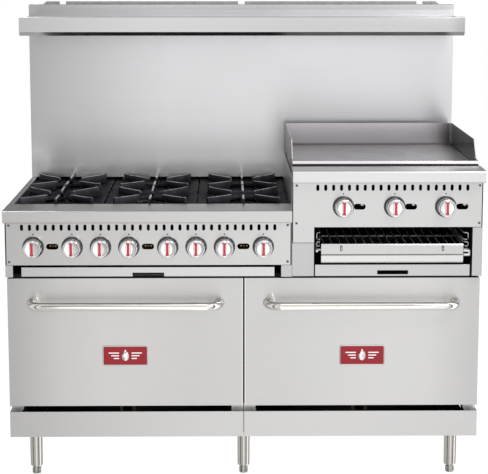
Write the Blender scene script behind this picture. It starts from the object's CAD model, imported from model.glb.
# A freestanding two-oven gas range: open grates on the left of the top, griddle and broiler
# on the right, a backguard with a high shelf behind. X runs to the right seen from the front,
# Y to the back (the doors face -Y), Z up from the floor. Node trees, lights and the camera
# work in metres; the mesh builders work in millimetres.
import math

import bmesh
import bpy
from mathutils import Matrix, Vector

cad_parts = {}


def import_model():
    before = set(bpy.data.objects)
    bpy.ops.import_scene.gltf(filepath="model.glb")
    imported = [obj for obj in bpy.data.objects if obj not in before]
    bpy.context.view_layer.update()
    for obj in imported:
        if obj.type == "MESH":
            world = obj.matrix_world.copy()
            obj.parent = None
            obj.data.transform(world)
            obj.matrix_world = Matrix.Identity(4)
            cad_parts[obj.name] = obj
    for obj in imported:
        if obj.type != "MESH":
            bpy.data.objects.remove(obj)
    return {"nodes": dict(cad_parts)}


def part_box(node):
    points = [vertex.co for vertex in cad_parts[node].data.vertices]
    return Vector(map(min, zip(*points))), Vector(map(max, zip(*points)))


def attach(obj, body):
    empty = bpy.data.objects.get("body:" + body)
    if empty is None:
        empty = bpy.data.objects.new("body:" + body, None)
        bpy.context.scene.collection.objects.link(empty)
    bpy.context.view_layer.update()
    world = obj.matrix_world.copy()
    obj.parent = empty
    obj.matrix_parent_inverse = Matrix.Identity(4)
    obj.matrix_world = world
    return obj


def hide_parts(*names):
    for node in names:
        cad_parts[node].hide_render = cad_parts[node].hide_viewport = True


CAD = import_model()["nodes"]
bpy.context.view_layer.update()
scene = bpy.context.scene
MM = 0.001
DOOR_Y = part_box("left_door_skin")[0].y      # front plane of the doors
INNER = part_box("right_door_skin")[0].x      # edge of the right door at the middle gap
GRATE_TOP = 0.928                           # height of the grates' worn crowns


# ---------------------------------------------------------------- node trees
class Field:
    """One output of a node. Arithmetic on it adds Math nodes to its tree."""

    def __init__(self, net, socket):
        self.net, self.socket = net, socket

    def __add__(self, other):
        return self.net.math("ADD", self, other)

    def __radd__(self, other):
        return self.net.math("ADD", other, self)

    def __sub__(self, other):
        return self.net.math("SUBTRACT", self, other)

    def __rsub__(self, other):
        return self.net.math("SUBTRACT", other, self)

    def __mul__(self, other):
        return self.net.math("MULTIPLY", self, other)

    def __rmul__(self, other):
        return self.net.math("MULTIPLY", other, self)

    def __truediv__(self, other):
        return self.net.math("DIVIDE", self, other)

    def __abs__(self):
        return self.net.math("ABSOLUTE", self, 0.0)

    def max(self, other):
        return self.net.math("MAXIMUM", self, other)

    def remap(self, at, to, smooth=False):
        """Goes from to[0] to to[1] as the field goes from at[0] to at[1], and stays there."""
        return self.net.field("ShaderNodeMapRange",
                              {"Value": self, "From Min": at[0], "From Max": at[1],
                               "To Min": to[0], "To Max": to[1]},
                              interpolation_type="SMOOTHSTEP" if smooth else "LINEAR", clamp=True)

    def xyz(self):
        node = self.net.node("ShaderNodeSeparateXYZ", {"Vector": self})
        return [Field(self.net, socket) for socket in node.outputs]

    def ramp(self, stops):
        """Colour ramp; stops are (position, grey level or colour)."""
        node = self.net.node("ShaderNodeValToRGB", {"Fac": self})
        elements = node.color_ramp.elements
        while len(elements) < len(stops):
            elements.new(1.0)
        for element, (position, colour) in zip(elements, stops):
            element.position = position
            element.color = (*colour, 1) if isinstance(colour, tuple) else (colour,) * 3 + (1,)
        return Field(self.net, node.outputs["Color"])


class Net:
    """A node tree, emptied and filled again."""

    def __init__(self, tree):
        self.tree = tree
        tree.nodes.clear()

    def put(self, socket, value):
        if isinstance(value, Field):
            self.tree.links.new(value.socket, socket)
        elif socket.type == "RGBA":
            socket.default_value = (*value, 1)
        else:
            socket.default_value = value

    def node(self, kind, inputs=None, **settings):
        node = self.tree.nodes.new(kind)
        for key, value in settings.items():
            setattr(node, key, value)
        for key, value in (inputs or {}).items():
            self.put(node.inputs[key], value)
        return node

    def field(self, kind, inputs=None, out=0, **settings):
        return Field(self, self.node(kind, inputs, **settings).outputs[out])

    def math(self, operation, first, second, clamp=False):
        return self.field("ShaderNodeMath", {0: first, 1: second},
                          operation=operation, use_clamp=clamp)

    def vector(self, operation, first, second, out=0):
        return self.field("ShaderNodeVectorMath", {0: first, 1: second}, out,
                          operation=operation)

    def mix(self, factor, first, second, mode="MIX"):
        return self.field("ShaderNodeMix", {0: factor, 6: first, 7: second}, 2,
                          data_type="RGBA", blend_type=mode)


MATERIALS = {}


class Surface(Net):
    """The tree of one named material: a Principled shader fed from object coordinates."""

    def __init__(self, name):
        material = bpy.data.materials.new(name)
        material.use_nodes = True
        super().__init__(material.node_tree)
        output = self.node("ShaderNodeOutputMaterial")
        self.shader = self.node("ShaderNodeBsdfPrincipled")
        self.put(output.inputs["Surface"], Field(self, self.shader.outputs[0]))
        self.point = self.field("ShaderNodeTexCoord", out="Object")
        MATERIALS[name] = material

    def set(self, inputs):
        for key, value in inputs.items():
            self.put(self.shader.inputs[key], value)

    def noise(self, scale, detail=2.0, rough=0.5, dist=0.0, point=None, out="Fac"):
        return self.field("ShaderNodeTexNoise",
                          {"Vector": point or self.point, "Scale": scale, "Detail": detail,
                           "Roughness": rough, "Distortion": dist}, out)

    def grain(self, axis, along, across, detail=2.0, rough=0.5, dist=0.0):
        """Noise stretched along an axis; along and across are its scales."""
        scales = [across] * 3
        if axis:
            scales["XYZ".index(axis)] = along
        return self.noise(scale=1.0, detail=detail, rough=rough, dist=dist,
                          point=self.vector("MULTIPLY", self.point, tuple(scales)))

    def cells(self, scale, point=None, out="Distance"):
        return self.field("ShaderNodeTexVoronoi",
                          {"Vector": point or self.point, "Scale": scale}, out)

    def normal(self):
        return self.field("ShaderNodeNewGeometry", out="Normal").xyz()

    def bump(self, height, strength, dist):
        return self.field("ShaderNodeBump",
                          {"Height": height, "Strength": strength, "Distance": dist})

    def shaded(self, colour, level):
        grey = self.field("ShaderNodeCombineXYZ", {axis: level for axis in "XYZ"})
        return self.mix(1.0, colour, grey, "MULTIPLY")

    def tangent(self, axis):
        return self.field("ShaderNodeCombineXYZ", {axis: 1.0})

    def edge_wear(self, radius):
        """About 1 on edges, 0 on flats: the bevelled normal turned away from the true one."""
        bevelled = self.field("ShaderNodeBevel", {"Radius": radius}, samples=4)
        true = self.field("ShaderNodeNewGeometry", out="Normal")
        facing = self.vector("DOT_PRODUCT", bevelled, true, out="Value")
        return facing.remap(at=(0.995, 0.9), to=(0.0, 1.0))


def scaled(colour, *factors):
    """The colour times one factor, or times one factor per channel."""
    return tuple(channel * factor for channel, factor in zip(colour, factors * 3))


# ------------------------------------------- lighter and darker zones of sheet steel
# Each returns a level that multiplies the steel's colour. Places are in metres.
def guard_zones(net):
    """Lighter low down, darker towards the left and along the top rim."""
    x, y, z = net.point.xyz()
    level = (z.remap(at=(0.92, 1.06), to=(1.36, 1.0), smooth=True)
             * x.remap(at=(-0.76, -0.25), to=(0.78, 1.0)))
    right = x.remap(at=(0.08, 0.2), to=(0.0, 1.0))
    tone = z.remap(at=(1.15, 1.32), to=(0.90, 1.0)) * z.remap(at=(1.32, 1.5), to=(1.0, 1.10))
    level = level * (1.0 + right * (tone - 1.0))
    edge = z.remap(at=(0.955, 1.01), to=(0.68, 1.0))
    glow = (z.remap(at=(0.925, 0.965), to=(1.55, 1.0))
            * z.remap(at=(0.965, 1.01), to=(1.18, 1.0)))
    level = level * (edge + x.remap(at=(-0.735, -0.70), to=(0.0, 1.0)) * (glow - edge))
    rim = z.remap(at=(1.512, 1.518), to=(0.0, 1.0)) * x.remap(at=(-0.5, 0.3), to=(0.02, 0.20))
    return level * (1.0 - rim)


def shelf_zones(net):
    """Duller steel towards the right end."""
    x = net.point.xyz()[0]
    return (x.remap(at=(-0.4, 0.3), to=(1.0, 0.86), smooth=True)
            * x.remap(at=(0.70, 0.76), to=(1.0, 0.80), smooth=True))


def splash_zones(net):
    """Bright lip, greased back wall and sides, black under the lip."""
    x, y, z = net.point.xyz()
    side = abs(net.normal()[0]).remap(at=(0.5, 0.85), to=(0.0, 1.0))
    wall = z.remap(at=(1.036, 1.112), to=(0.56, 0.94))
    lip = z.remap(at=(1.0444, 1.0452), to=(0.10, 1.36))
    level = y.remap(at=(-0.294, -0.290), to=(1.0, 0.0)) * (lip - wall) + wall
    level = level * (1.0 - side * x.remap(at=(0.4, 0.5), to=(0.50, 0.80)))
    # a crease of soot along the back of the plate, and the bright weld in the right back corner
    back = (y.remap(at=(0.29, 0.295), to=(0.0, 1.0))
            * net.normal()[1].remap(at=(-0.7, -0.5), to=(1.0, 0.0)))
    soot = back * z.remap(at=(1.0395, 1.042), to=(0.5, 0.0))
    corner = back * x.remap(at=(0.700, 0.7475), to=(0.0, 0.62))
    weld = back * x.remap(at=(0.7476, 0.7484), to=(0.0, 1.0))
    level = level * (1.0 - soot.max(corner - weld))
    # cut front edges of the side walls
    cut = (net.normal()[1].remap(at=(-0.6, -0.3), to=(1.0, 0.0))
           * z.remap(at=(1.055, 1.056), to=(0.0, 1.0))
           * y.remap(at=(-0.2, -0.19), to=(1.0, 0.0)))
    return level.max(cut * 1.5)


def ledge_zones(top_level):
    """Upward faces at their own level, faces turned to the back nearly black."""
    def zones(net):
        normal = net.normal()
        inside = normal[1].remap(at=(0.3, 0.6), to=(1.0, 0.06))
        upward = normal[2].remap(at=(0.80, 0.97), to=(0.0, 1.0), smooth=True)
        x = net.point.xyz()[0]
        level = top_level * x.remap(at=(0.45, 0.64), to=(1.0, 1.6), smooth=True)
        return (1.0 + upward * (level - 1.0)) * inside
    return zones


def door_zones(net):
    """Bright folded edges either side of the middle gap, and unevenly rubbed faces."""
    x = net.point.xyz()[0]
    level = abs(x).remap(at=(INNER + 0.0026, INNER + 0.0036), to=(1.36, 1.0))
    for at, to in (((-0.74, -0.60), (0.94, 1.09)), ((-0.44, -0.17), (1.0, 0.88)),
                   ((0.13, 0.46), (1.0, 1.075)), ((0.60, 0.74), (1.0, 0.88))):
        level = level * x.remap(at, to)
    return level


def plate_zones(net):
    """A shadowed crease along the middle of the broiler's handle plate."""
    z = net.point.xyz()[2]
    crease = (z.remap(at=(0.7590, 0.7600), to=(0.0, 1.0))
              * z.remap(at=(0.7618, 0.7626), to=(1.0, 0.0)))
    return (1.0 - crease * 0.55) * z.remap(at=(0.7600, 0.7625), to=(1.0, 0.84))


def tray_zones(net):
    """Clean fronts; the pan inside is blackened."""
    x, y, z = net.point.xyz()
    black = 0.05
    deep = y.remap(at=(-0.345, -0.27), to=(0.42, black))
    pan = black + z.remap(at=(0.6915, 0.6925), to=(1.0, 0.0)) * (deep - black)
    level = pan + y.remap(at=(-0.3644, -0.3638), to=(1.0, 0.0)) * (1.0 - pan)
    return level * x.remap(at=(0.15, 0.2), to=(1.0, 0.88))


def bar_bands(net):
    """Tarnish along a horizontal tube: thin above the middle, along the top, and below."""
    nx, ny, nz = net.normal()
    straight = abs(nx).remap(at=(0.02, 0.10), to=(1.0, 0.0))
    middle = nz.remap(at=(0.20, 0.27), to=(0.0, 0.66)) * nz.remap(at=(0.48, 0.55), to=(1.0, 0.0))
    top = nz.remap(at=(0.87, 0.92), to=(0.0, 0.90))
    low = nz.remap(at=(-0.90, -0.82), to=(0.55, 0.0))
    return (middle * straight).max(top.max(low))


# ------------------------------------------------------------ kinds of material
def steel(name, along="X", base=(0.70, 0.695, 0.69), rough=0.30, aniso=0.75,
          fine=0.07, streak=0.05, cloud=0.045, bump=0.06, zones=None):
    """Brushed sheet: fine scratches along one axis, broader streaks, soft clouds, and a
    highlight that stretches across the grain. fine, streak and cloud are amounts."""
    net = Surface(name)
    scratches = net.grain(along, along=9.0, across=1100.0, detail=2.0, rough=0.6)
    streaks = net.grain(along, along=1.4, across=150.0, detail=3.0, rough=0.6)
    clouds = net.noise(scale=4.2, detail=3.0, rough=0.5, dist=0.4)
    small_clouds = net.noise(scale=17.0, detail=3.0, rough=0.55, dist=0.2)
    level = (1.0 + (scratches - 0.5) * fine + (streaks - 0.5) * streak
             + (clouds - 0.5) * cloud + (small_clouds - 0.5) * (cloud * 0.5))
    tone = net.mix(clouds.remap(at=(0.35, 0.65), to=(0.0, 0.5), smooth=True),
                   base, scaled(base, 1.006, 0.998, 0.990))
    if zones:
        level = level * zones(net)
    net.set({"Base Color": net.shaded(tone, level),
             "Metallic": 1.0,
             "Roughness": rough + (streaks - 0.5) * 0.07 + (clouds - 0.5) * 0.06,
             "Anisotropic": aniso,
             "Anisotropic Rotation": 0.25,
             "Tangent": net.tangent(along),
             "Normal": net.bump(scratches, strength=bump, dist=0.00006)})


def polished(name, base, rough=0.10, smear=0.06, scratch=0.03, along=None, metal=1.0,
             bands=None):
    """Polished metal with faint wipe marks."""
    net = Surface(name)
    wipes = net.noise(scale=26.0, detail=4.0, rough=0.6, dist=0.8)
    scratches = net.grain(along, along=8.0, across=420.0, detail=3.0, rough=0.6)
    colour = net.mix(wipes.remap(at=(0.4, 0.7), to=(0.0, 1.0), smooth=True),
                     base, scaled(base, 0.955, 0.95, 0.935))
    if bands:
        colour = net.mix(bands(net), colour, (0.10, 0.092, 0.08))
        net.set({"Emission Color": colour, "Emission Strength": 0.13})      # faint bloom
    roughness = net.math("ADD", rough + (wipes - 0.42) * smear, (scratches - 0.5) * scratch,
                         clamp=True)
    net.set({"Base Color": colour,
             "Metallic": metal,
             "Roughness": roughness.max(0.03),
             "Normal": net.bump(scratches, strength=0.03, dist=0.00004)})


def cast_iron(name, base, rough, wear, top=None):
    """Baked black coat: dull flats, glossier sides, worn grey edges. top is the height of
    crowns worn bare."""
    net = Surface(name)
    sand = net.noise(scale=850.0, detail=4.0, rough=0.65)
    lumps = net.noise(scale=130.0, detail=3.0, rough=0.6)
    patches = net.noise(scale=22.0, detail=3.0, rough=0.5)
    colour = net.mix(lumps.remap(at=(0.42, 0.70), to=(0.0, 1.0), smooth=True),
                     base, scaled(base, 2.6, 2.6, 2.8))
    upward = net.normal()[2]
    flat = upward.remap(at=(0.75, 0.95), to=(0.0, 1.0), smooth=True)
    worn = (net.edge_wear(radius=0.0016)
            * lumps.remap(at=(0.38, 0.6), to=(0.25, 1.0), smooth=True) * wear)
    if top is not None:
        high = net.point.xyz()[2].remap(at=(top - 0.010, top - 0.005), to=(0.0, 1.0))
        crown = (high * upward.remap(at=(0.35, 0.8), to=(0.0, 1.0))
                 * patches.remap(at=(0.35, 0.6), to=(0.3, 0.8), smooth=True))
        flat = flat * (1.0 - high)
        worn = worn.max(crown)
        # chalky sides, facing right and front
        nx, ny, nz = net.normal()
        chalk = nx.remap(at=(0.25, 0.6), to=(0.0, 1.0)) * ny.remap(at=(-0.25, -0.6), to=(0.0, 1.0))
        chalk = chalk * net.point.xyz()[2].remap(at=(0.900, 0.926), to=(0.25, 1.0))
        colour = net.mix(chalk * patches.remap(at=(0.35, 0.65), to=(0.5, 1.0)),
                         colour, (0.105, 0.103, 0.115))
    net.set({"Base Color": net.mix(worn, colour, (0.60, 0.60, 0.63)),
             "Metallic": worn * 0.85,
             "Roughness": net.math("ADD", rough + (patches - 0.5) * 0.2, flat * 0.16, clamp=True),
             "Specular IOR Level": 0.24 - flat * 0.23,
             "Normal": net.bump(sand * 0.5 + lumps * (1.0 + flat * 1.5),
                                strength=0.55, dist=0.0007)})


def enamel(name, base, speck):
    """Enamel with small light specks."""
    net = Surface(name)
    scale = 900.0
    cells = net.cells(scale)
    patches = net.noise(scale=scale * 0.31, detail=2.0, rough=0.6)
    specks = (cells.remap(at=(0.22, 0.12), to=(0.0, 1.0))
              * patches.remap(at=(0.56, 0.62), to=(0.0, 1.0)))
    tone = net.mix(net.noise(scale=7.0, detail=3.0), base, scaled(base, 1.35))
    net.set({"Base Color": net.mix(specks, tone, speck),
             "Roughness": 0.22 + net.noise(scale=35.0, detail=3.0) * 0.12,
             "Normal": net.bump(net.noise(scale=240.0, detail=2.0), strength=0.05, dist=0.0006),
             "Coat Weight": 0.25,
             "Coat Roughness": 0.12})


def galvanised(name, inside=1.0):
    """Spangled zinc; inside is the level of faces turned to the front."""
    net = Surface(name)
    dim = net.normal()[1].remap(at=(-0.6, -0.3), to=(inside, 1.0))
    ripple = net.vector("MULTIPLY", net.noise(scale=30.0, out="Color"), (0.02, 0.02, 0.02))
    spangle = net.cells(scale=62.0, point=net.vector("ADD", net.point, ripple),
                        out="Color").xyz()[0]
    zinc = net.mix(spangle, (0.47, 0.485, 0.49), (0.63, 0.645, 0.65))
    net.set({"Base Color": net.shaded(zinc, dim),
             "Metallic": 0.95,
             "Roughness": 0.34 + spangle * 0.16,
             "Normal": net.bump(spangle, strength=0.08, dist=0.0002)})


def blanket(name):
    net = Surface(name)
    fibres = net.grain("Y", along=160.0, across=700.0, detail=4.0, rough=0.7, dist=1.2)
    lumps = net.noise(scale=18.0, detail=4.0, rough=0.6)
    colour = net.mix(fibres, (0.50, 0.42, 0.19), (0.88, 0.82, 0.55))
    net.set({"Base Color": net.mix(lumps * 0.5, colour, (0.60, 0.52, 0.28)),
             "Roughness": 0.95,
             "Sheen Weight": 0.5,
             "Normal": net.bump(fibres + lumps, strength=0.8, dist=0.004)})


def heat_steel(name):
    """Steel with heat colours in patches."""
    net = Surface(name)
    heat = net.noise(scale=6.5, detail=4.0, rough=0.6, dist=0.5)
    colour = heat.ramp([(0.30, (0.17, 0.165, 0.16)), (0.46, (0.21, 0.17, 0.12)),
                        (0.56, (0.16, 0.115, 0.105)), (0.66, (0.12, 0.13, 0.165)),
                        (0.8, (0.18, 0.175, 0.17))])
    net.set({"Base Color": colour,
             "Metallic": 0.85,
             "Roughness": 0.38 + heat * 0.2,
             "Normal": net.bump(net.noise(scale=500.0, detail=3.0), strength=0.12, dist=0.0002)})


def paint(name, base, rough=0.38, peel=0.08, dust=0.03, spec=0.5):
    """Paint with orange peel, and dust on upward faces."""
    net = Surface(name)
    patches = net.noise(scale=9.0, detail=4.0, rough=0.6)
    upward = net.normal()[2].remap(at=(0.2, 1.0), to=(0.0, 1.0))
    dusty = net.math("MULTIPLY", upward, patches * (dust * 4), clamp=True)
    tone = net.mix(patches, base, scaled(base, 1.5))
    net.set({"Base Color": net.mix(dusty, tone, (0.18, 0.17, 0.16)),
             "Roughness": rough + patches * 0.15,
             "Specular IOR Level": spec,
             "Normal": net.bump(net.noise(scale=420.0, detail=2.0), strength=peel, dist=0.0004)})


def machined(name, base, rough):
    """Turned metal with darker stains."""
    net = Surface(name)
    tooling = net.grain("Y", along=1800.0, across=90.0, detail=2.0)
    stains = net.noise(scale=60.0, detail=4.0, rough=0.6)
    net.set({"Base Color": net.mix(stains.remap(at=(0.4, 0.75), to=(0.0, 0.8), smooth=True),
                                   base, scaled(base, 0.62, 0.55, 0.5)),
             "Metallic": 1.0,
             "Roughness": rough + (tooling - 0.5) * 0.2,
             "Normal": net.bump(tooling, strength=0.15, dist=0.0001)})


def pilot_metal(name):
    """Sooted brass on the lower panel, a bright plated nozzle on the upper one."""
    net = Surface(name)
    stains = net.noise(scale=180.0, detail=4.0, rough=0.6)
    x, y, z = net.point.xyz()
    panels = (0.85, 0.86)       # heights between the lower and the upper panel
    high = z.remap(at=panels, to=(0.0, 1.0))
    clean = y.remap(at=(z.remap(at=panels, to=(-0.3722, -0.3700)),
                        z.remap(at=panels, to=(-0.3718, -0.3690))), to=(1.0, 0.03))
    brass = net.mix(stains.remap(at=(0.4, 0.7), to=(0.0, 1.0), smooth=True),
                    (0.50, 0.34, 0.15), (0.16, 0.09, 0.04))
    plated = net.mix(stains.remap(at=(0.4, 0.7), to=(0.0, 1.0), smooth=True),
                     (0.85, 0.83, 0.78), (0.62, 0.59, 0.52))
    net.set({"Base Color": net.mix(clean, (0.006, 0.006, 0.006), net.mix(high, brass, plated)),
             "Metallic": clean * (1.0 - high * 0.5),
             "Specular IOR Level": clean * 0.5,
             "Roughness": 0.25 + stains * 0.25,
             "Normal": net.bump(stains, strength=0.2, dist=0.0002)})


def casting(name, base):
    net = Surface(name)
    sand = net.noise(scale=520.0, detail=4.0, rough=0.6)
    patches = net.noise(scale=34.0, detail=3.0)
    net.set({"Base Color": net.mix(patches, scaled(base, 0.8), scaled(base, 1.15)),
             "Metallic": 0.9,
             "Roughness": 0.5 + patches * 0.15,
             "Normal": net.bump(sand, strength=0.3, dist=0.0004)})


def griddle(name):
    """Ground plate with seasoned patches, darker towards the back."""
    net = Surface(name)
    grain = net.grain("Y", along=12.0, across=700.0, detail=3.0, rough=0.6)
    patches = net.noise(scale=5.0, detail=5.0, rough=0.6, dist=0.8)
    colour = patches.ramp([(0.3, (0.45, 0.446, 0.445)), (0.5, (0.56, 0.556, 0.555)),
                           (0.72, (0.41, 0.405, 0.40))])
    level = net.point.xyz()[1].remap(at=(-0.218, 0.304), to=(1.0, 0.64))
    net.set({"Base Color": net.shaded(colour, level * (0.94 + grain * 0.12)),
             "Metallic": 1.0,
             "Roughness": 0.30 + patches * 0.16,
             "Anisotropic": 0.5,
             "Tangent": net.tangent("X"),
             "Normal": net.bump(grain, strength=0.08, dist=0.0001)})


def ceramic(name):
    """Pitted tile."""
    net = Surface(name)
    pits = net.cells(scale=420.0)
    colour = net.mix(net.noise(scale=14.0, detail=4.0), (0.80, 0.74, 0.66), (0.60, 0.52, 0.45))
    net.set({"Base Color": net.mix(pits.remap(at=(0.0, 0.25), to=(0.7, 0.0)),
                                   colour, (0.12, 0.10, 0.09)),
             "Roughness": 0.85,
             "Normal": net.bump(pits, strength=0.6, dist=0.001)})


def gloss(name, base, rough, coat=0.5):
    """Smooth enamel or plastic under a clear coat."""
    net = Surface(name)
    mottle = net.noise(scale=140.0, detail=3.0, rough=0.55)
    net.set({"Base Color": net.mix(net.math("MULTIPLY", mottle, 0.48, clamp=True),
                                   base, scaled(base, 0.72)),
             "Roughness": rough + mottle * 0.10,
             "Coat Weight": coat,
             "Coat Roughness": 0.08,
             "Normal": net.bump(mottle, strength=0.03, dist=0.0003)})


steel("sheet_front")
steel("sheet_door", zones=door_zones)
steel("sheet_guard", rough=0.23, aniso=0.7, base=(0.705, 0.705, 0.722), zones=guard_zones)
steel("sheet_ledge_low", rough=0.31, aniso=0.6, fine=0.03, streak=0.02, bump=0.01,
      zones=ledge_zones(top_level=0.63))
steel("sheet_ledge_high", rough=0.34, aniso=0.5, base=(0.86, 0.855, 0.855), fine=0.03,
      streak=0.02, bump=0.01, zones=ledge_zones(top_level=0.86))
steel("sheet_shelf", rough=0.24, aniso=0.6, base=(0.70, 0.697, 0.70), zones=shelf_zones)
steel("sheet_side", along="Y", rough=0.34)
steel("sheet_upright", along="Z", rough=0.30, base=(0.72, 0.715, 0.715), fine=0.02,
      streak=0.015, cloud=0.02, bump=0.004)
steel("sheet_splash", rough=0.24, aniso=0.6, base=(0.705, 0.675, 0.705), zones=splash_zones)
steel("sheet_tray", rough=0.26, aniso=0.7, base=(0.72, 0.715, 0.72), zones=tray_zones)
steel("sheet_plate", rough=0.26, aniso=0.6, base=(0.74, 0.735, 0.72))
steel("sheet_handle_plate", rough=0.26, aniso=0.5, base=(0.80, 0.795, 0.79), fine=0.03,
      bump=0.02, zones=plate_zones)
steel("liner_steel", rough=0.46, base=(0.52, 0.515, 0.505), aniso=0.3, cloud=0.12)
polished("chrome_knob", base=(0.98, 0.98, 0.985), rough=0.06, smear=0.04)
polished("dial_rim_metal", base=(0.30, 0.30, 0.31), rough=0.16)
polished("nickel_tube", base=(0.97, 0.955, 0.91), rough=0.035, smear=0.02, scratch=0.015,
         along="X", bands=bar_bands)
polished("nickel_leg", base=(0.84, 0.82, 0.76), rough=0.14, smear=0.08, along="Z")
polished("nickel_foot", base=(0.52, 0.51, 0.48), rough=0.18, smear=0.06)
polished("plated_wire", base=(0.90, 0.90, 0.90), rough=0.28, metal=0.3)
polished("screw_metal", base=(0.30, 0.295, 0.29), rough=0.25)
cast_iron("iron_grate", base=(0.0065, 0.0065, 0.0095), rough=0.28, wear=0.6, top=GRATE_TOP)
cast_iron("iron_burner", base=(0.007, 0.007, 0.0075), rough=0.55, wear=0.15)
enamel("oven_enamel", base=(0.018, 0.020, 0.027), speck=(0.35, 0.37, 0.42))
galvanised("zinc_sheet")
galvanised("zinc_panel", inside=0.04)
blanket("fibre_blanket")
heat_steel("burner_steel")
paint("satin_black", base=(0.014, 0.014, 0.015))
paint("broiler_dark", base=(0.006, 0.006, 0.0065), rough=0.65, dust=0.0, spec=0.2)
paint("well_black", base=(0.006, 0.006, 0.006), rough=0.6, dust=0.01, spec=0.15)
pilot_metal("pilot_metal")
machined("valve_brass", base=(0.16, 0.12, 0.07), rough=0.5)
paint("black_pipe", base=(0.02, 0.02, 0.021), rough=0.5, peel=0.2)
casting("cast_aluminium", base=(0.58, 0.59, 0.61))
griddle("griddle_steel")
ceramic("tile")
gloss("red_inlay", base=(0.86, 0.045, 0.085), rough=0.30)
gloss("red_enamel", base=(0.56, 0.014, 0.03), rough=0.36, coat=0.12)
gloss("dial_black", base=(0.055, 0.056, 0.062), rough=0.32)
gloss("dial_white", base=(0.55, 0.55, 0.55), rough=0.45, coat=0.1)
gloss("dark_recess", base=(0.02, 0.02, 0.02), rough=0.6, coat=0.0)

# the CAD pieces that wear each material
WEARERS = {
    "satin_black": "base_frame oven_front_frame hinge_brackets",
    "nickel_leg": "legs",
    "nickel_foot": "leg_feet",
    "nickel_tube": "left_door_handle right_door_handle",
    "sheet_front": "kick_plates left_control_panel right_control_panel",
    "sheet_side": "left_side_panel right_side_panel section_partition",
    "sheet_door": "left_door_skin right_door_skin",
    "sheet_ledge_low": "left_bullnose",
    "sheet_ledge_high": "right_bullnose",
    "sheet_splash": "griddle_splash",
    "sheet_upright": "broiler_posts",
    "sheet_guard": "backguard_front",
    "sheet_shelf": "high_shelf",
    "sheet_tray": "crumb_tray drip_tray",
    "sheet_handle_plate": "broiler_rack_handle",
    "liner_steel": "left_door_liner right_door_liner",
    "zinc_panel": "rear_panel",
    "zinc_sheet": "flue_ducts backguard_rear",
    "oven_enamel": "oven_liners oven_floor_plates",
    "fibre_blanket": "oven_insulation",
    "burner_steel": "oven_burners griddle_burners",
    "dial_black": "dial_bezels",
    "valve_brass": "gas_valves",
    "black_pipe": "gas_manifold",
    "cast_aluminium": "gas_regulator",
    "pilot_metal": "pilot_fittings",
    "well_black": "cooktop_frame",
    "iron_burner": "top_burners",
    "iron_grate": "grates",
    "griddle_steel": "griddle_plate",
    "broiler_dark": "broiler_liner",
    "tile": "broiler_burner",
    "screw_metal": "panel_screws",
    "plated_wire": "broiler_rack left_oven_rack right_oven_rack",
}
LOOK = {node: name for name, nodes in WEARERS.items() for node in nodes.split()}
KNOBS = [node for node in CAD if "_knob_" in node]
LOOK.update({node: "chrome_knob" for node in KNOBS})


# ------------------------------------------------------- softened sheet edges
def joining_group():
    """Joins the split vertices of a mesh and marks its true edges, so the bevel can work."""
    group = bpy.data.node_groups.new("joined_edges", "GeometryNodeTree")
    for direction in ("INPUT", "OUTPUT"):
        group.interface.new_socket("Geometry", in_out=direction,
                                   socket_type="NodeSocketGeometry")
    net = Net(group)
    given = net.field("NodeGroupInput")
    result = net.node("NodeGroupOutput")
    merged = net.field("GeometryNodeMergeByDistance", {"Geometry": given, "Distance": 0.00002})
    plain = net.field("GeometryNodeRemoveAttribute",
                      {"Geometry": merged, "Name": "custom_normal"})
    smooth = net.field("GeometryNodeSetShadeSmooth", {"Geometry": plain, "Shade Smooth": True},
                       domain="FACE")
    angle = net.field("GeometryNodeInputMeshEdgeAngle")
    shallow = net.field("FunctionNodeCompare", {0: angle, 1: math.radians(26)},
                        data_type="FLOAT", operation="LESS_THAN")
    marked = net.field("GeometryNodeSetShadeSmooth",
                       {"Geometry": smooth, "Shade Smooth": shallow}, domain="EDGE")
    net.put(result.inputs[0], marked)
    return group


JOINING = joining_group()


def soften(obj, width):
    joined = obj.modifiers.new("joined", "NODES")
    joined.node_group = JOINING
    bevel = obj.modifiers.new("edge", "BEVEL")
    bevel.width = width
    bevel.segments = 3 if width > 0.0015 else 2
    bevel.limit_method = "ANGLE"
    bevel.angle_limit = math.radians(40)
    bevel.use_clamp_overlap = False
    bevel.harden_normals = True
    bevel.miter_outer = "MITER_ARC"


# bevel width in metres, and the pieces that have it
BEVELS = {
    0.0004: "section_partition",
    0.0005: "kick_plates left_side_panel right_side_panel broiler_posts rear_panel "
            "backguard_rear cooktop_frame oven_floor_plates",
    0.0006: "left_door_skin right_door_skin high_shelf crumb_tray drip_tray pilot_fittings "
            "hinge_brackets",
    0.0007: "backguard_front",
    0.0008: "griddle_splash top_burners gas_valves base_frame",
    0.0012: "gas_regulator",
    0.0025: "griddle_plate",
}
BEVEL_OF = {node: width for width, nodes in BEVELS.items() for node in nodes.split()}

for name, obj in CAD.items():
    for material_slot in obj.material_slots:
        material_slot.material = MATERIALS[LOOK[name]]
    if name in BEVEL_OF:
        soften(obj, BEVEL_OF[name])


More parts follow.
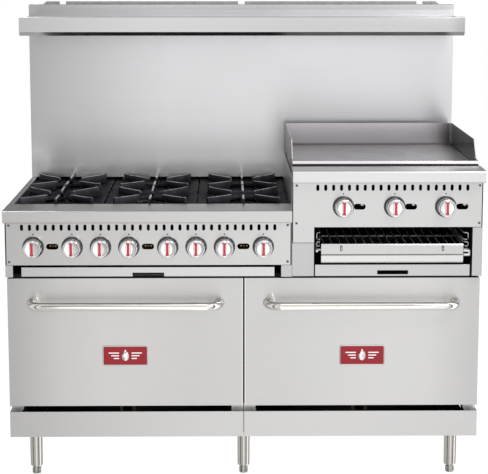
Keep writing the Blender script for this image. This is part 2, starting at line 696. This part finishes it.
# ------------------------------------------------------------- mesh builders
class Shape:
    """Collects closed shells in millimetres."""

    def __init__(self):
        self.verts, self.faces = [], []

    def rings(self, rings, loop=False):
        """Skins a list of equal point rings. loop joins the last ring to the first; otherwise
        both ends are capped."""
        first, size, count = len(self.verts), len(rings[0]), len(rings)
        for ring in rings:
            self.verts += [tuple(point) for point in ring]
        for k in range(count if loop else count - 1):
            near, far = first + k * size, first + (k + 1) % count * size
            for i in range(size):
                j = (i + 1) % size
                self.faces.append((near + i, near + j, far + j, far + i))
        if not loop:
            self.faces.append(tuple(first + i for i in reversed(range(size))))
            self.faces.append(tuple(first + (count - 1) * size + i for i in range(size)))

    def lathe(self, profile, segments, place, loop=False):
        """Turns (radius, height) pairs; place(x, y, height) puts a point."""
        turns = [2 * math.pi * i / segments for i in range(segments)]
        self.rings([[place(radius * math.cos(turn), radius * math.sin(turn), height)
                     for turn in turns] for radius, height in profile], loop)

    def loft(self, place, stations, steps):
        """Skins rounded outlines: (height, half width, half height, corner radius)."""
        self.rings([[place(x, y, height) for x, y in rounded(half_width, top, radius, steps)]
                    for height, half_width, top, radius in stations])

    def strip(self, place, start, end, width, angle, heights):
        """A straight strip from start to end along a ray at the given angle."""
        cosine, sine = math.cos(angle), math.sin(angle)
        half = width / 2
        corners = [(start, -half), (end, -half), (end, half), (start, half)]
        self.rings([[place(x * cosine - y * sine, x * sine + y * cosine, height)
                     for x, y in corners] for height in heights])

    def done(self, name, body, material, slot, replaces=(), angle=32.0):
        """Makes the object; angle is where shading turns sharp."""
        mesh = bpy.data.meshes.new(name)
        mesh.from_pydata([(x * MM, y * MM, z * MM) for x, y, z in self.verts], [], self.faces)
        mesh.validate()
        work = bmesh.new()
        work.from_mesh(mesh)
        bmesh.ops.recalc_face_normals(work, faces=work.faces)
        work.to_mesh(mesh)
        work.free()
        mesh.shade_smooth()
        mesh.set_sharp_from_angle(angle=math.radians(angle))
        mesh.materials.append(MATERIALS[material])
        obj = bpy.data.objects.new(name, mesh)
        scene.collection.objects.link(obj)
        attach(obj, body)
        if replaces:
            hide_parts(*replaces)


def on_front(cx, cz, front):
    """Local x right, y up and h out of the front, about a point on the range's front."""
    return lambda x, y, h: (cx + x, front - h, cz + y)


def on_floor(cx, cy):
    """Local x and y about a point of the floor plan, h the height."""
    return lambda x, y, h: (cx + x, cy + y, h)


def box_mm(node):
    return [(corner.x * 1000, corner.y * 1000, corner.z * 1000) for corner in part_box(node)]


def rounded(half_width, top, radius, steps, bottom=None):
    """Rounded rectangle; bottom is -top unless given."""
    bottom = -top if bottom is None else bottom
    right, high, low = half_width - radius, top - radius, bottom + radius
    points = []
    for cx, cy, start in ((right, high, 0), (-right, high, 90),
                          (-right, low, 180), (right, low, 270)):
        for i in range(steps + 1):
            turn = math.radians(start + 90 * i / steps)
            points.append((cx + radius * math.cos(turn), cy + radius * math.sin(turn)))
    return points


# ---------------------------------------------------------------------- knobs
# skirt and face: (inset from the knob's radius, height off the panel)
KNOB_PROFILE = (
    (3.0, 0.6), (0.9, 0.0), (0.15, 0.5), (0.0, 1.3), (0.0, 3.4), (0.5, 4.5), (2.0, 6.0),
    (2.8, 7.4), (3.05, 12.0), (3.1, 18.0), (3.0, 26.6), (2.6, 28.6), (1.2, 31.4),
    (0.25, 33.2), (0.0, 34.2), (0.0, 35.4), (0.3, 36.4), (0.95, 37.2), (1.9, 37.7),
    (3.2, 37.9), (4.1, 37.6), (5.1, 36.95), (6.6, 36.45), (9.5, 36.15), (15.0, 35.95))
KNOB_CENTRE = (0.4, 35.85)      # (radius, height) where the face closes
BAR_INSET = 6.0                 # from the knob's radius to the end of the finger bar


def bar_outline(half_width, half_height, radius):
    """Rounded bar outline with points along its long sides, so it can be waisted."""
    points = []
    straight = half_height - radius
    for sx, sy, start in ((1, 1, 0), (-1, 1, 90), (-1, -1, 180), (1, -1, 270)):
        for i in range(5):
            turn = math.radians(start + 22.5 * i)
            points.append((sx * (half_width - radius) + radius * math.cos(turn),
                           sy * straight + radius * math.sin(turn)))
        if sx != sy:            # down the left side, then up the right side
            points += [(sx * half_width, sy * straight * k / 6) for k in range(5, -6, -1)]
    return points


def waist(along):
    """Width factor of the inlay: narrow in the middle, full at the ends."""
    rise = min(1.0, max(0.0, (abs(along) - 0.62) / 0.24))
    return 0.76 + 0.24 * rise * rise * (3 - 2 * rise)


def build_knob(node):
    (x0, y0, z0), (x1, back, z1) = box_mm(node)
    cx, cz = (x0 + x1) / 2, (z0 + z1) / 2
    radius, depth = (x1 - x0) / 2, back - y0
    place = on_front(cx, cz, back)
    metal = Shape()
    metal.lathe([(radius - inset, height) for inset, height in KNOB_PROFILE] + [KNOB_CENTRE],
                80, place)
    half = radius - BAR_INSET
    # raised finger bar: (height, half width, inset of its half length, corner radius)
    bar = ((33.0, 8.6, 0.4, 6.2), (37.6, 8.0, 0.3, 6.0), (38.6, 7.5, 0.5, 5.6),
           (39.8, 7.2, 0.7, 5.3), (depth - 1.2, 7.1, 0.8, 5.2), (depth - 0.5, 6.8, 1.1, 4.9),
           (depth - 0.15, 6.3, 1.6, 4.4), (depth - 0.15, 5.5, 2.3, 3.7),
           (depth - 0.9, 5.3, 2.5, 3.5))
    metal.loft(place, [(height, width, half - inset, corner)
                       for height, width, inset, corner in bar], steps=7)
    body = node + "_body"
    metal.done(node + "_metal", body, "chrome_knob", "knob_chrome", replaces=(node,), angle=28)
    inlay = Shape()
    rings = []
    # (distance below the knob's face, then as for the bar)
    for below, width, inset, corner in ((1.3, 5.6, 1.6, 2.0), (0.14, 5.6, 1.6, 2.0),
                                        (0.03, 5.3, 1.9, 1.8), (0.0, 4.9, 2.3, 1.5)):
        length = half - inset
        rings.append([place(x * waist(y / length), y, depth - below)
                      for x, y in bar_outline(width, length, corner)])
    inlay.rings(rings)
    inlay.done(node + "_inlay", body, "red_inlay", "knob_chrome")
    return cx, cz


knob_centres = {node: build_knob(node) for node in KNOBS}

# ---------------------------------------------------------------------- dials
PANEL_Y = box_mm("dial_bezels")[1][1]       # front plane of the control panels
# (radius, height)
DIAL_RING = ((10.0, 0.0), (33.9, 0.0), (33.9, 1.7), (33.4, 2.3), (10.0, 2.3))
DIAL_RIM = ((33.6, 0.0), (34.4, 0.0), (34.5, 2.0), (34.2, 2.8), (33.9, 3.0), (33.5, 2.8),
            (33.4, 2.2))
INDEX_PIN = ((2.3, 0.0), (2.3, 0.5), (1.9, 1.0), (1.1, 1.3), (0.2, 1.4))
PIN_RISE = 41.0                             # from the knob's centre up to the pin


def build_dials():
    ring, rim, marks, pins = Shape(), Shape(), Shape(), Shape()
    for node, (cx, cz) in sorted(knob_centres.items()):
        place = on_front(cx, cz, PANEL_Y)
        ring.lathe(DIAL_RING, 72, place, loop=True)
        rim.lathe(DIAL_RIM, 72, place, loop=True)
        sweep, count = (300, 13) if node.startswith("oven") else (200, 9)
        for i in range(count):
            # the first mark is at the top, the rest run clockwise
            degrees = 50 - sweep * i / (count - 1) if i else 90
            width, start = (1.0, 28.6) if i % 3 else (1.5, 28.0)
            marks.strip(place, start, 32.4, width, math.radians(degrees), (2.2, 2.45))
        pins.lathe(INDEX_PIN, 20, on_front(cx, cz + PIN_RISE, PANEL_Y))
    ring.done("dial_rings", "range_body", "dial_black", "dial_black", replaces=("dial_bezels",))
    rim.done("dial_rims", "range_body", "dial_rim_metal", "bright_metal")
    marks.done("dial_marks", "range_body", "dial_white", "dial_black")
    pins.done("dial_index_pins", "range_body", "dark_recess", "black_paint")


build_dials()

# --------------------------------------------------------------- bar handles
BEND = 40.0             # bend radius of the tube's centre line
BEND_STEPS = 14
STRAIGHT_STEPS = 10
TUBE_SEGMENTS = 40
STUB = 6.0              # straight end of the tube at the door
# (distance outside the tube's radius, height off the door)
COLLAR = ((0.05, 0.0), (3.6, 0.0), (3.6, 1.0), (2.8, 1.9), (0.9, 2.3), (0.05, 2.2))


def build_handle(side):
    node = side + "_door_handle"
    (x0, y0, z0), (x1, door, z1) = box_mm(node)
    radius, cz = (z1 - z0) / 2, (z0 + z1) / 2
    bar_y, left, right = y0 + radius, x0 + radius, x1 - radius
    quarter = math.pi / 2
    # (x, y, how far the tube has turned): out from the door, along, and back
    path = [(left, door, 0.0), (left, door - STUB, 0.0)]

    def bend(centre, start):
        for i in range(BEND_STEPS + 1):
            turn = start + quarter * i / BEND_STEPS
            path.append((centre - BEND * math.cos(turn),
                         bar_y + BEND - BEND * math.sin(turn), turn))

    bend(left + BEND, 0.0)
    for i in range(1, STRAIGHT_STEPS):
        path.append((left + BEND + (right - left - 2 * BEND) * i / STRAIGHT_STEPS,
                     bar_y, quarter))
    bend(right - BEND, quarter)
    path += [(right, door - STUB, math.pi), (right, door, math.pi)]
    rings = []
    for x, y, turn in path:
        ring = []
        for i in range(TUBE_SEGMENTS):
            around = 2 * math.pi * i / TUBE_SEGMENTS
            out = radius * math.cos(around)
            ring.append((x - math.cos(turn) * out, y - math.sin(turn) * out,
                         cz + radius * math.sin(around)))
        rings.append(ring)
    tube = Shape()
    tube.rings(rings)
    tube.done(node + "_tube", side + "_door", "nickel_tube", "bright_metal",
              replaces=(node,), angle=60)
    collars = Shape()
    for end in (left, right):
        collars.lathe([(radius + outset, height) for outset, height in COLLAR], 40,
                      on_front(end, cz, door), loop=True)
    collars.done(node + "_collars", side + "_door", "nickel_foot", "bright_metal")


for side in ("left", "right"):
    build_handle(side)

# ------------------------------------------------------------ door badges
BADGE_X, BADGE_Z = 384.0, 425.0             # centre, from the middle of the range and the floor
BADGE_HALF_WIDTH, BADGE_HALF_HEIGHT, BADGE_CORNER = 74.0, 34.0, 9.0
# (height off the door, inset of the outline)
BADGE_PLATE = ((0.0, 0.0), (1.4, 0.0), (2.2, 0.7), (2.5, 1.6), (2.5, 3.0), (2.2, 3.6),
               (1.5, 3.9), (1.5, 5.0))
BADGE_FIELD = ((1.3, 4.1), (1.9, 4.1), (2.15, 4.6), (2.2, 6.0))
# control points of the flame's outline (x, y)
FLAME = ((0, 21), (3.2, 15), (2.6, 10.5), (6.6, 12.5), (9.8, 6), (11.2, -1), (10.2, -8),
         (6.6, -14), (0, -17), (-6.6, -14), (-10.2, -8), (-11.0, -1), (-8.6, 5),
         (-6.0, 1.5), (-5.6, 8), (-3.6, 15))


def closed_curve(points):
    """Catmull-Rom curve through the points, four steps to a span."""
    curve = []
    for i in range(len(points)):
        p0, p1, p2, p3 = (Vector(points[(i + k) % len(points)]) for k in (-1, 0, 1, 2))
        for t in (0.0, 0.25, 0.5, 0.75):
            curve.append(0.5 * ((2 * p1) + (p2 - p0) * t + (2 * p0 - 5 * p1 + 4 * p2 - p3) * t * t
                                + (3 * p1 - p0 - 3 * p2 + p3) * t ** 3))
    return curve


def build_badge(side):
    lo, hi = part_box(side + "_door_skin")
    place = on_front(math.copysign(BADGE_X, lo.x + hi.x), BADGE_Z, DOOR_Y * 1000)
    body, slot = side + "_door", "brushed_stainless"
    for part, table, material in (("plate", BADGE_PLATE, "sheet_plate"),
                                  ("field", BADGE_FIELD, "red_enamel")):
        shape = Shape()
        shape.loft(place, [(height, BADGE_HALF_WIDTH - inset, BADGE_HALF_HEIGHT - inset,
                            BADGE_CORNER - inset) for height, inset in table], steps=8)
        shape.done("%s_badge_%s" % (side, part), body, material, slot, angle=30)
    # a flame shape between two stacks of bars
    emblem = Shape()
    flame = closed_curve(FLAME)
    emblem.rings([[place(point.x * size, point.y * size, height) for point in flame]
                  for height, size in ((2.0, 1.0), (2.6, 1.0), (2.8, 0.955))])
    for sx in (-1, 1):
        for row, half in enumerate((17.0, 13.0, 9.0)):
            bar = rounded(half, 1.8, 1.6, steps=4)
            middle = sx * (20.0 + half)
            emblem.rings([[place(middle + x, y + 9.0 - 9.0 * row, height) for x, y in bar]
                          for height in (2.0, 2.65)])
    emblem.done(side + "_badge_emblem", body, "chrome_knob", slot, angle=30)


for side in ("left", "right"):
    build_badge(side)

# --------------------------------------------------------------- legs and feet
FLANGE_HALF_X, FLANGE_HALF_Y = 44, 38
BOLT_X, BOLT_Y, BOLT_RADIUS = 33, 27, 6.2       # bolt places from the leg's axis
LEG_FOOT_END = ((12.0, 27.5), (16.6, 26.2), (18.6, 27.2), (19.6, 30.0), (19.9, 35.0),
                (20.1, 60.0), (20.5, 120.0), (20.6, 142.0))     # (radius, height)
# from the top of the legs down: (radius, distance), (distance, shrink), (distance, size)
LEG_COLLAR = ((20.4, 7.0), (22.6, 7.0), (23.4, 6.0), (23.4, 3.4), (20.4, 3.4))
FLANGE_LEVELS = ((3.0, 0.012), (2.5, 0.0), (0.4, 0.0), (0.0, 0.01))
BOLT_LEVELS = ((7.0, 0.9), (6.6, 1.0), (3.0, 1.0))
# (radius, height, depth of the flutes)
FOOT = ((10.0, 0.0, 0.0), (12.6, 0.5, 0.0), (13.9, 2.2, 0.25), (14.4, 5.0, 0.7),
        (14.4, 17.0, 0.8), (13.6, 20.0, 0.5), (11.8, 22.5, 0.0), (11.6, 27.6, 0.0))
FLUTES, FOOT_SEGMENTS = 12, 72


def foot_ring(place, radius, height, depth):
    ring = []
    for i in range(FOOT_SEGMENTS):
        turn = 2 * math.pi * i / FOOT_SEGMENTS
        fluted = radius - depth * (0.5 + 0.5 * math.cos(FLUTES * turn))
        ring.append(place(fluted * math.cos(turn), fluted * math.sin(turn), height))
    return ring


def build_legs():
    (x0, y0, z0), (x1, y1, top) = box_mm("legs")
    plate = rounded(FLANGE_HALF_X, FLANGE_HALF_Y, 7, steps=6)
    hexagon = [(BOLT_RADIUS * math.cos(math.radians(60 * i)),
                BOLT_RADIUS * math.sin(math.radians(60 * i))) for i in range(6)]
    tube, flange, feet = Shape(), Shape(), Shape()
    for x in (x0 + FLANGE_HALF_X, 0.0, x1 - FLANGE_HALF_X):
        for y in (y0 + FLANGE_HALF_Y, y1 - FLANGE_HALF_Y):
            place = on_floor(x, y)
            tube.lathe(LEG_FOOT_END + ((20.6, top - 4.2),), 56, place)
            tube.lathe([(radius, top - down) for radius, down in LEG_COLLAR], 56, place,
                       loop=True)
            flange.rings([[place(a * (1 - shrink), b * (1 - shrink), top - down)
                           for a, b in plate] for down, shrink in FLANGE_LEVELS])
            for sx in (-1, 1):
                for sy in (-1, 1):
                    bolt = on_floor(x + sx * BOLT_X, y + sy * BOLT_Y)
                    flange.rings([[bolt(a * size, b * size, top - down) for a, b in hexagon]
                                  for down, size in BOLT_LEVELS])
            feet.rings([foot_ring(place, *station) for station in FOOT])
    tube.done("leg_tubes", "range_body", "nickel_leg", "bright_metal", replaces=("legs",),
              angle=40)
    flange.done("leg_flanges", "range_body", "liner_steel", "bright_metal", angle=25)
    feet.done("leg_adjusters", "range_body", "nickel_foot", "bright_metal",
              replaces=("leg_feet",), angle=40)


build_legs()

# ----------------------------------------------- broiler: wire guides and plate slots
WIRE_RADIUS = 1.9
WIRE_SEGMENTS = 14
WIRE_CORNER = 4.0
GUIDE_HEIGHTS = ((784.5, 798.0), (806.0, 828.0))    # lower and upper run of each guide
SLOT_XS, SLOT_Z = (311.0, 636.0), 783.0


def wire_rings(path):
    rings = []
    for k, point in enumerate(path):
        heading = Vector(path[min(k + 1, len(path) - 1)]) - Vector(path[max(k - 1, 0)])
        heading.normalize()
        side = heading.cross(Vector((0.31, 0.17, 0.93))).normalized()
        up = heading.cross(side)
        turns = [2 * math.pi * i / WIRE_SEGMENTS for i in range(WIRE_SEGMENTS)]
        rings.append([Vector(point) + side * WIRE_RADIUS * math.cos(turn)
                      + up * WIRE_RADIUS * math.sin(turn) for turn in turns])
    return rings


def build_guide_wires():
    """Wires bent round at the front, two on each side wall of the broiler."""
    (x0, _, _), (x1, y1, _) = box_mm("broiler_rack")
    back, front = y1 - 6, DOOR_Y * 1000 - 2.0
    wires = Shape()
    # (wall, direction away from it, distance of the long runs)
    for wall, inward, run in ((x0 - 3, 1, 17.0), (x1 + 3, -1, 22.0)):
        for low, high in GUIDE_HEIGHTS:
            # (distance from the wall, y) from the back forward and across
            level = [(run, back), (run, front + 8), (run - 2, front + 2), (run - 8, front),
                     (7 + WIRE_CORNER, front)]
            path = [(off, y, low) for off, y in level]
            path += [(7.6, front, low + 1.4), (7, front, low + WIRE_CORNER),
                     (7, front, high - WIRE_CORNER), (7.6, front, high - 1.4)]
            path += [(off, y, high) for off, y in reversed(level)]
            wires.rings(wire_rings([(wall + inward * off, y, z) for off, y, z in path]))
    wires.done("broiler_guide_wires", "range_body", "plated_wire", "rack_wire", angle=50)


def build_handle_slots():
    front = box_mm("broiler_rack_handle")[0][1]
    hole = rounded(3.4, 9.0, 2.6, steps=5, bottom=-8.5)
    core = rounded(1.5, 6.6, 1.2, steps=5, bottom=-6.2)
    slots = Shape()
    for x in SLOT_XS:
        place = on_front(x, SLOT_Z, front + 0.2)
        slots.rings([[place(a, b, height) for a, b in outline] for outline, height in
                     ((hole, 0.0), (hole, 0.2), (core, 0.2), (core, 0.0))], loop=True)
    slots.done("broiler_handle_slots", "broiler_rack_body", "dark_recess", "black_paint")


build_guide_wires()
build_handle_slots()

# ------------------------------------------------------------------- screws
SCREW_HEAD = ((4.2, 0.0), (4.2, 0.6), (3.9, 1.3), (3.1, 1.9), (1.9, 2.25),
              (0.2, 2.35))      # (radius, height)
SCREW_REACH = 12                # points closer than this belong to one screw


def screw_centres():
    """Centres (x, z) of the CAD screws, from the vertices on their front faces."""
    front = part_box("panel_screws")[0].y
    groups = {}
    for vertex in CAD["panel_screws"].data.vertices:
        x, y, z = vertex.co
        if y < front + 0.0005:
            key = (round(x / 0.02), round(z / 0.02))
            groups.setdefault(key, []).append((x * 1000, z * 1000))
    points = [point for group in groups.values() for point in group]
    centres = []
    for group in groups.values():
        mean = [sum(values) / len(group) for values in zip(*group)]
        if all(math.dist(mean, other) > SCREW_REACH for other in centres):
            near = [point for point in points if math.dist(point, mean) < SCREW_REACH]
            centres.append(tuple((min(values) + max(values)) / 2 for values in zip(*near)))
    return sorted(centres)


def build_screws():
    heads, recesses = Shape(), Shape()
    for i, (cx, cz) in enumerate(screw_centres()):
        place = on_front(cx, cz, PANEL_Y)
        heads.lathe(SCREW_HEAD, 28, place)
        angle = math.radians(17 + 41 * i)
        for turn in (angle, angle + math.pi / 2):
            recesses.strip(place, -2.2, 2.2, 0.9, turn, (1.2, 2.38))
    heads.done("panel_screw_heads", "range_body", "screw_metal", "bright_metal",
               replaces=("panel_screws",), angle=40)
    recesses.done("panel_screw_recesses", "range_body", "dark_recess", "bright_metal")


build_screws()

# ------------------------------------------------------------------- grates
GRATE_XS = (-609.6, -304.8, 0.0)
GRATE_ROW = 162.0                               # from the middle line to each row's centre
GRATE_HALF_WIDTH, GRATE_HALF_DEPTH = 150.0, 160.8
BOWL_SEGMENTS = 96
# section of the bowl: "c" (radius from the centre, height), "e" (inset from the border, height)
BOWL = (
    ("c", 70.0, 892.2), ("c", 70.0, 899.0), ("c", 71.4, 900.8), ("c", 74.5, 901.2),
    ("c", 80.0, 899.4), ("c", 92.0, 898.2), ("e", 26.0, 900.2), ("e", 12.0, 902.4),
    ("e", 2.2, 903.0), ("e", 0.6, 902.4), ("e", 0.0, 900.8), ("e", 0.0, 889.8),
    ("e", 0.8, 889.0), ("e", 6.4, 889.0), ("e", 7.2, 890.0), ("e", 7.6, 895.0),
    ("e", 12.0, 896.4), ("c", 96.0, 893.4), ("c", 88.0, 891.4), ("c", 72.0, 891.0))
# (angle in degrees, inner radius, outer radius)
FINS = ((47, 54, 172), (133, 54, 172), (227, 54, 172), (313, 54, 172), (90, 40, 150),
        (270, 40, 150))
FIN_FOOT = 4.6                                  # half thickness at the foot


def bowl_rings(place, half_left):
    def border(turn, inset):
        """Distance from the bowl's centre to the inset border along a ray."""
        side = (GRATE_HALF_WIDTH if math.cos(turn) > 0 else half_left) - inset
        return min(side / max(1e-6, abs(math.cos(turn))),
                   (GRATE_HALF_DEPTH - inset) / max(1e-6, abs(math.sin(turn))))

    rings = []
    for kind, distance, height in BOWL:
        ring = []
        for i in range(BOWL_SEGMENTS):
            turn = 2 * math.pi * i / BOWL_SEGMENTS
            radius = distance if kind == "c" else border(turn, distance)
            ring.append(place(radius * math.cos(turn), radius * math.sin(turn), height))
        rings.append(ring)
    return rings


def fin_rings(place, top, degrees, inner, outer):
    cosine, sine = math.cos(math.radians(degrees)), math.sin(math.radians(degrees))
    # (crest radius, crest height, crest half thickness, foot radius, foot height)
    stations = (
        (inner, top - 9, 2.7, inner + 16, 902.0),
        (inner + 1.2, top - 5, 3.0, inner + 18, 900.5),
        (inner + 4, top - 1.4, 3.2, inner + 22, 899.0),
        (inner + 12, top - 0.9, 3.3, inner + 28, 897.6),
        (outer - 60, top - 0.5, 3.4, outer - 60, 896.6),
        (outer - 26, top, 3.4, outer - 26, 896.6),
        (outer - 12, top + 1.2, 3.4, outer - 12, 897.2),
        (outer - 6, top + 2, 3.2, outer - 6, 898.0),
        (outer - 1.5, top + 0.9, 3.0, outer - 1.5, 899.0),
        (outer, top - 1.2, 3.0, outer, 900.0))
    rings = []
    for crest, crest_z, half, foot, foot_z in stations:
        # (half thickness, radius, height) from the foot to the crest
        flank = [(FIN_FOOT, foot, foot_z), (FIN_FOOT, foot, foot_z + 2.0),
                 (half + 0.55, crest, crest_z - 1.6), (half, crest, crest_z - 0.5),
                 (half - 1.1, crest, crest_z)]
        section = [(-off, radius, z) for off, radius, z in flank] + flank[::-1]
        rings.append([place(radius * cosine - off * sine, radius * sine + off * cosine, z)
                      for off, radius, z in section])
    return rings


def build_grates():
    (x0, y0, _), (_, y1, z1) = box_mm("grates")
    middle = (y0 + y1) / 2
    number = 0
    for x in GRATE_XS:
        # the left grates reach to the edge of the cooktop
        half_left = x - x0 if x == GRATE_XS[0] else GRATE_HALF_WIDTH
        for y in (middle - GRATE_ROW, middle + GRATE_ROW):
            number += 1
            place = on_floor(x, y)
            grate = Shape()
            grate.rings(bowl_rings(place, half_left), loop=True)
            for fin in FINS:
                grate.rings(fin_rings(place, z1 - 2.0, *fin))
            grate.done("grate_%d" % number, "range_body", "iron_grate", "cast_iron_black",
                       replaces=("grates",) if number == 1 else (), angle=38)


build_grates()


# -------------------------------------------------------------------- stage
def build_floor():
    """A white floor, hidden from reflections and bounced light."""
    mesh = bpy.data.meshes.new("floor")
    count, size = 24, 14.0
    row = count + 1
    verts = [((i / count - 0.5) * size, (j / count - 0.5) * size, 0.0)
             for j in range(row) for i in range(row)]
    faces = [(j * row + i, j * row + i + 1, (j + 1) * row + i + 1, (j + 1) * row + i)
             for j in range(count) for i in range(count)]
    mesh.from_pydata(verts, [], faces)
    floor = bpy.data.objects.new("floor", mesh)
    scene.collection.objects.link(floor)
    material = bpy.data.materials.new("studio_floor")
    material.use_nodes = True
    net = Net(material.node_tree)
    output = net.node("ShaderNodeOutputMaterial")
    diffuse = net.field("ShaderNodeBsdfDiffuse", {"Color": (0.9, 0.9, 0.9)})
    glow = net.field("ShaderNodeEmission", {"Color": (1, 1, 1), "Strength": 1.07})
    net.put(output.inputs[0], net.field("ShaderNodeMixShader", {0: 0.96, 1: diffuse, 2: glow}))
    mesh.materials.append(material)
    floor.visible_glossy = False
    floor.visible_diffuse = False


build_floor()

# Brightness of the studio surround, as (degrees, level).
# around: 0 is straight in front of the range, positive to the right
AROUND = (
    (-180, 0.6), (-135, 0.6), (-105, 0.5), (-84, 0.55), (-68, 0.5), (-62, 0.12), (-50, 0.12),
    (-44, 0.55), (-14, 0.46), (-9, 0.47), (-7.2, 0.66), (-5.6, 0.98), (-4, 1.07), (-1, 1.01),
    (2.4, 1.03), (4.7, 1.08), (6.8, 1.14), (8.1, 1.03), (9.5, 0.88), (14, 0.80), (35, 0.5),
    (44, 0.5), (48, 0.12), (60, 0.12), (72, 1.25), (102, 1.15), (118, 0.25), (150, 0.25),
    (165, 0.6), (180, 0.6))
# by height in front: a bright wall with a thin dark line at eye level
AHEAD = (
    (-90, 0.95), (-48, 0.95), (-20, 0.92), (-10, 1.1), (-5, 1.35), (-2.6, 1.3), (0, 0.5),
    (2.6, 1.1), (10, 1.1), (46, 1.05), (74, 1.15), (90, 0.95))
# by height behind: a dim band above eye level
BEHIND = (
    (-90, 0.95), (-50, 0.9), (-20, 0.8), (-6, 1.15), (0, 1.10), (6, 0.5), (12, 0.25),
    (34, 0.22), (46, 0.45), (62, 0.55), (76, 0.9), (90, 0.8))


def build_world():
    """Studio surround, seen by reflections; the camera sees plain white."""
    world = bpy.data.worlds.new("studio")
    scene.world = world
    world.use_nodes = True
    net = Net(world.node_tree)
    output = net.node("ShaderNodeOutputWorld")
    x, y, z = net.field("ShaderNodeTexCoord", out="Generated").xyz()

    def by_height(table):
        return height.ramp([(math.sin(math.radians(degrees)) * 0.5 + 0.5, level / 2)
                            for degrees, level in table])

    azimuth = net.math("ARCTAN2", x, y * -1.0) / (2 * math.pi) + 0.5
    around = azimuth.ramp([(degrees / 360.0 + 0.5, level / 2) for degrees, level in AROUND])
    height = z * 0.5 + 0.5
    ahead = by_height(AHEAD)
    behind = by_height(BEHIND)
    level = net.mix(y.remap(at=(0.0, 0.4), to=(0.0, 1.0), smooth=True), ahead, behind)
    # the ramps hold half levels, so their product is scaled by four
    strength = around.xyz()[0] * (level.xyz()[0] * 4.0)
    tint = net.mix(x.remap(at=(-0.4, 0.3), to=(0.0, 1.0)), (1.0, 0.992, 0.98), (0.99, 0.993, 1.0))
    room = net.field("ShaderNodeBackground", {"Color": tint, "Strength": strength})
    white = net.field("ShaderNodeBackground", {"Color": (1, 1, 1), "Strength": 1.0})
    seen = net.field("ShaderNodeLightPath", out="Is Camera Ray")
    net.put(output.inputs[0], net.field("ShaderNodeMixShader", {0: seen, 1: room, 2: white}))


build_world()


def area(name, location, target, size, power):
    light = bpy.data.lights.new(name, "AREA")
    light.shape = "RECTANGLE"
    light.size, light.size_y = size
    light.energy = power
    lamp = bpy.data.objects.new(name, light)
    lamp.location = location
    aim = Vector(target) - Vector(location)
    lamp.rotation_euler = aim.to_track_quat("-Z", "Y").to_euler()
    scene.collection.objects.link(lamp)


area("key", location=(1.6, -2.6, 3.2), target=(0.0, 0.0, 0.9), size=(1.2, 0.8), power=22.0)
area("top", location=(-1.2, 0.6, 3.4), target=(-0.3, 0.1, 0.9), size=(0.9, 0.5), power=14.0)


def build_camera():
    tilt_down, turn_right = 8.9078, 0.67191     # degrees
    lens = bpy.data.cameras.new("camera")
    lens.sensor_width = 36.0
    lens.lens = 116.1959016
    lens.shift_y = -0.0655737705
    lens.clip_start, lens.clip_end = 0.1, 60.0
    camera = bpy.data.objects.new("camera", lens)
    camera.location = (-0.05757, -5.32839, 1.69843)
    camera.rotation_euler = (math.radians(90 - tilt_down), 0.0, math.radians(-turn_right))
    scene.collection.objects.link(camera)
    scene.camera = camera


build_camera()
scene.view_settings.view_transform = "Standard"
scene.view_settings.look = "None"
scene.view_settings.exposure = 0.0
scene.view_settings.gamma = 1.0
